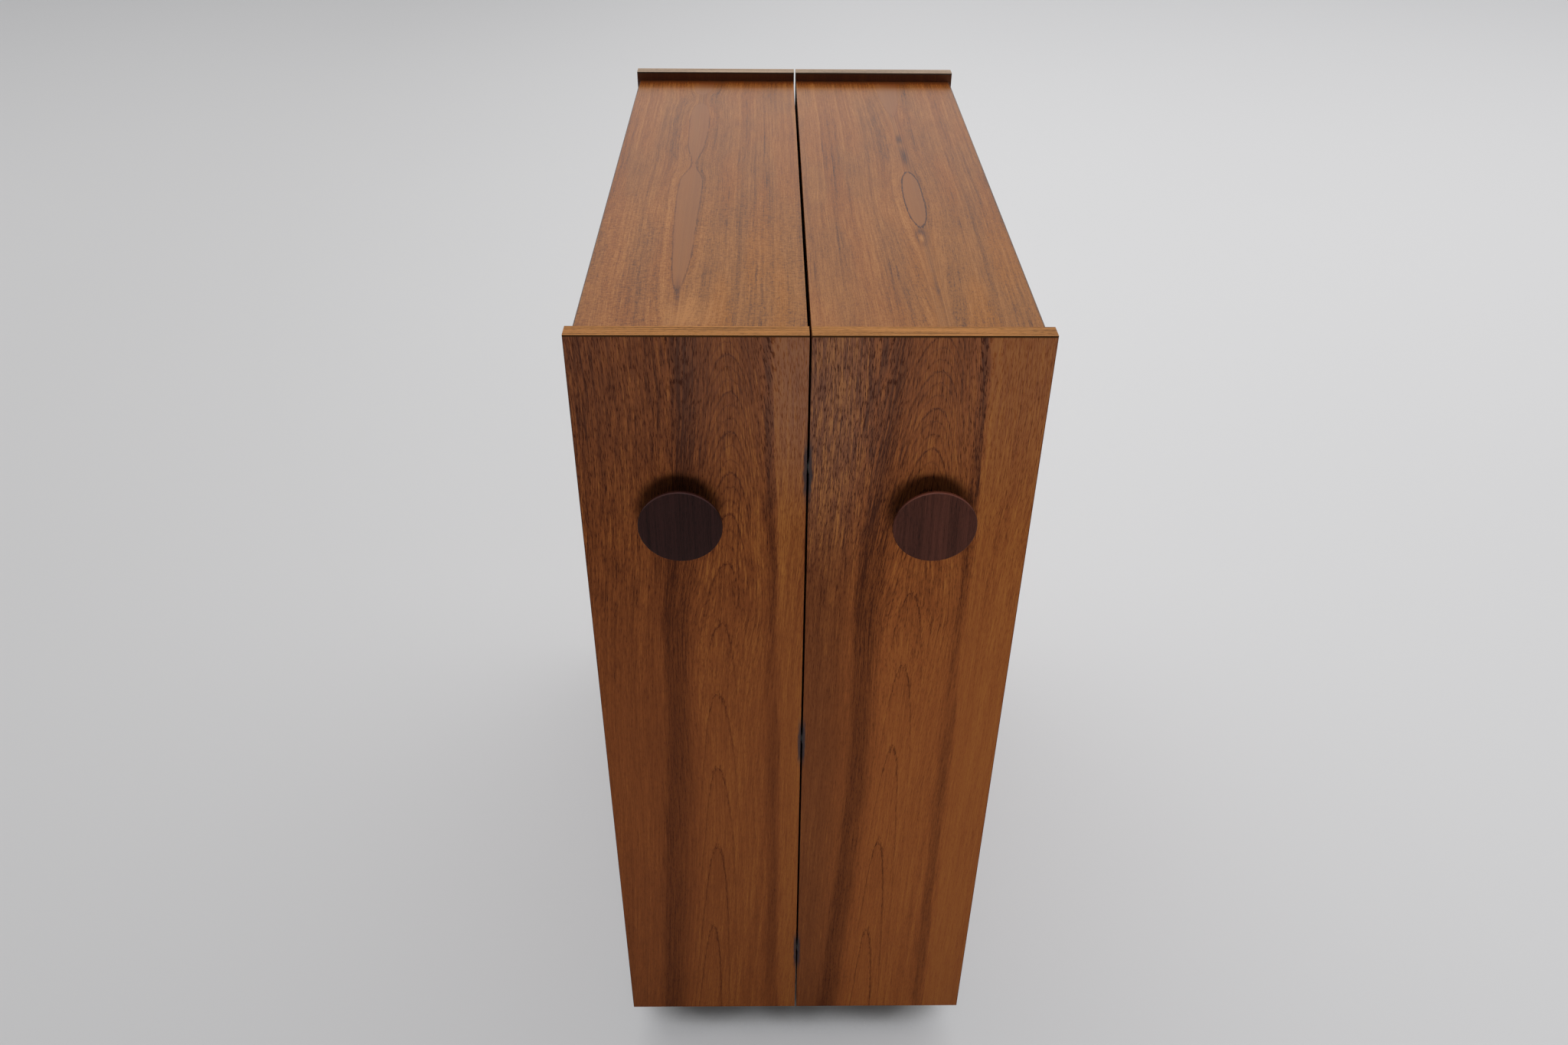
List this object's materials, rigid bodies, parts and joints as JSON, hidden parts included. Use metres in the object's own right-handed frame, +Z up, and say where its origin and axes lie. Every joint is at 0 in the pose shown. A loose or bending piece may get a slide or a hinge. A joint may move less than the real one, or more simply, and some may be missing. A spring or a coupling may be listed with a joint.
{
  "type": "cellarette",
  "caption": "Tall narrow drinks cabinet in two half-cases that open like a book, with a recessed tray top, round disc knobs, shelves and rails inside, on swivel castors.",
  "frame": {"origin": "on the floor, under the middle of the whole outline, knobs and hinge knuckles included", "axes": "+Z up, knobs face -Y, X across both halves with the right half at +X"},
  "size_m": [0.38, 0.7286, 0.924],
  "materials": {
    "teak": "satin oiled veneer",
    "light_teak": "satin oiled solid wood",
    "plywood": "raw",
    "rosewood": "satin oiled",
    "brass": "aged",
    "steel": "zinc plated",
    "black_nylon": "moulded"
  },
  "bodies": {
    "left_half": {"left_front_panel": "teak", "left_back_panel": "teak", "left_top": "teak", "left_bottom": "teak", "left_side": "teak", "left_front_lipping": "light_teak", "left_back_lipping": "light_teak", "left_splines": "plywood", "left_lower_shelf": "teak", "left_upper_shelf": "teak", "left_lower_rail": "light_teak", "left_middle_rail": "light_teak", "left_upper_rail": "light_teak", "left_knob": "rosewood", "left_knob_screw": "steel", "left_hinge_leaves": "brass", "left_castor_plates": "steel", "hinge_pins": "brass", "catch_magnets": "steel"},
    "right_half": {"right_front_panel": "teak", "right_back_panel": "teak", "right_top": "teak", "right_bottom": "teak", "right_side": "teak", "right_front_lipping": "light_teak", "right_back_lipping": "light_teak", "right_splines": "plywood", "right_lower_shelf": "teak", "right_upper_shelf": "teak", "right_lower_rail": "light_teak", "right_middle_rail": "light_teak", "right_upper_rail": "light_teak", "right_knob": "rosewood", "right_knob_screw": "steel", "right_hinge_leaves": "brass", "right_castor_plates": "steel", "catch_strikes": "steel"},
    "left_outer_castor_swivel": {"left_outer_castor_fork": "steel", "left_outer_castor_axle": "steel"},
    "left_outer_castor_roller": {"left_outer_castor_wheel": "black_nylon"},
    "left_inner_castor_swivel": {"left_inner_castor_fork": "steel", "left_inner_castor_axle": "steel"},
    "left_inner_castor_roller": {"left_inner_castor_wheel": "black_nylon"},
    "left_rear_castor_swivel": {"left_rear_castor_fork": "steel", "left_rear_castor_axle": "steel"},
    "left_rear_castor_roller": {"left_rear_castor_wheel": "black_nylon"},
    "right_outer_castor_swivel": {"right_outer_castor_fork": "steel", "right_outer_castor_axle": "steel"},
    "right_outer_castor_roller": {"right_outer_castor_wheel": "black_nylon"},
    "right_inner_castor_swivel": {"right_inner_castor_fork": "steel", "right_inner_castor_axle": "steel"},
    "right_inner_castor_roller": {"right_inner_castor_wheel": "black_nylon"},
    "right_rear_castor_swivel": {"right_rear_castor_fork": "steel", "right_rear_castor_axle": "steel"},
    "right_rear_castor_roller": {"right_rear_castor_wheel": "black_nylon"}
  },
  "joints": [
    {"name": "book_hinge", "type": "hinge", "parent": "left_half", "child": "right_half", "pos_m": [0, 0.3617, 0.484], "axis": [0, 0, 1], "range_deg": [0, 180]},
    {"name": "left_outer_castor_turn", "type": "hinge", "parent": "left_half", "child": "left_outer_castor_swivel", "pos_m": [-0.149, -0.2613, 0.0537], "axis": [0, 0, 1], "continuous": true},
    {"name": "left_outer_castor_roll", "type": "hinge", "parent": "left_outer_castor_swivel", "child": "left_outer_castor_roller", "pos_m": [-0.149, -0.2453, 0.02], "axis": [1, 0, 0], "continuous": true},
    {"name": "left_inner_castor_turn", "type": "hinge", "parent": "left_half", "child": "left_inner_castor_swivel", "pos_m": [-0.041, -0.2613, 0.0537], "axis": [0, 0, 1], "continuous": true},
    {"name": "left_inner_castor_roll", "type": "hinge", "parent": "left_inner_castor_swivel", "child": "left_inner_castor_roller", "pos_m": [-0.041, -0.2453, 0.02], "axis": [1, 0, 0], "continuous": true},
    {"name": "left_rear_castor_turn", "type": "hinge", "parent": "left_half", "child": "left_rear_castor_swivel", "pos_m": [-0.09425, 0.2817, 0.0537], "axis": [0, 0, 1], "continuous": true},
    {"name": "left_rear_castor_roll", "type": "hinge", "parent": "left_rear_castor_swivel", "child": "left_rear_castor_roller", "pos_m": [-0.09425, 0.2977, 0.02], "axis": [1, 0, 0], "continuous": true},
    {"name": "right_outer_castor_turn", "type": "hinge", "parent": "right_half", "child": "right_outer_castor_swivel", "pos_m": [0.149, -0.2613, 0.0537], "axis": [0, 0, 1], "continuous": true},
    {"name": "right_outer_castor_roll", "type": "hinge", "parent": "right_outer_castor_swivel", "child": "right_outer_castor_roller", "pos_m": [0.149, -0.2453, 0.02], "axis": [1, 0, 0], "continuous": true},
    {"name": "right_inner_castor_turn", "type": "hinge", "parent": "right_half", "child": "right_inner_castor_swivel", "pos_m": [0.041, -0.2613, 0.0537], "axis": [0, 0, 1], "continuous": true},
    {"name": "right_inner_castor_roll", "type": "hinge", "parent": "right_inner_castor_swivel", "child": "right_inner_castor_roller", "pos_m": [0.041, -0.2453, 0.02], "axis": [1, 0, 0], "continuous": true},
    {"name": "right_rear_castor_turn", "type": "hinge", "parent": "right_half", "child": "right_rear_castor_swivel", "pos_m": [0.09425, 0.2817, 0.0537], "axis": [0, 0, 1], "continuous": true},
    {"name": "right_rear_castor_roll", "type": "hinge", "parent": "right_rear_castor_swivel", "child": "right_rear_castor_roller", "pos_m": [0.09425, 0.2977, 0.02], "axis": [1, 0, 0], "continuous": true}
  ]
}
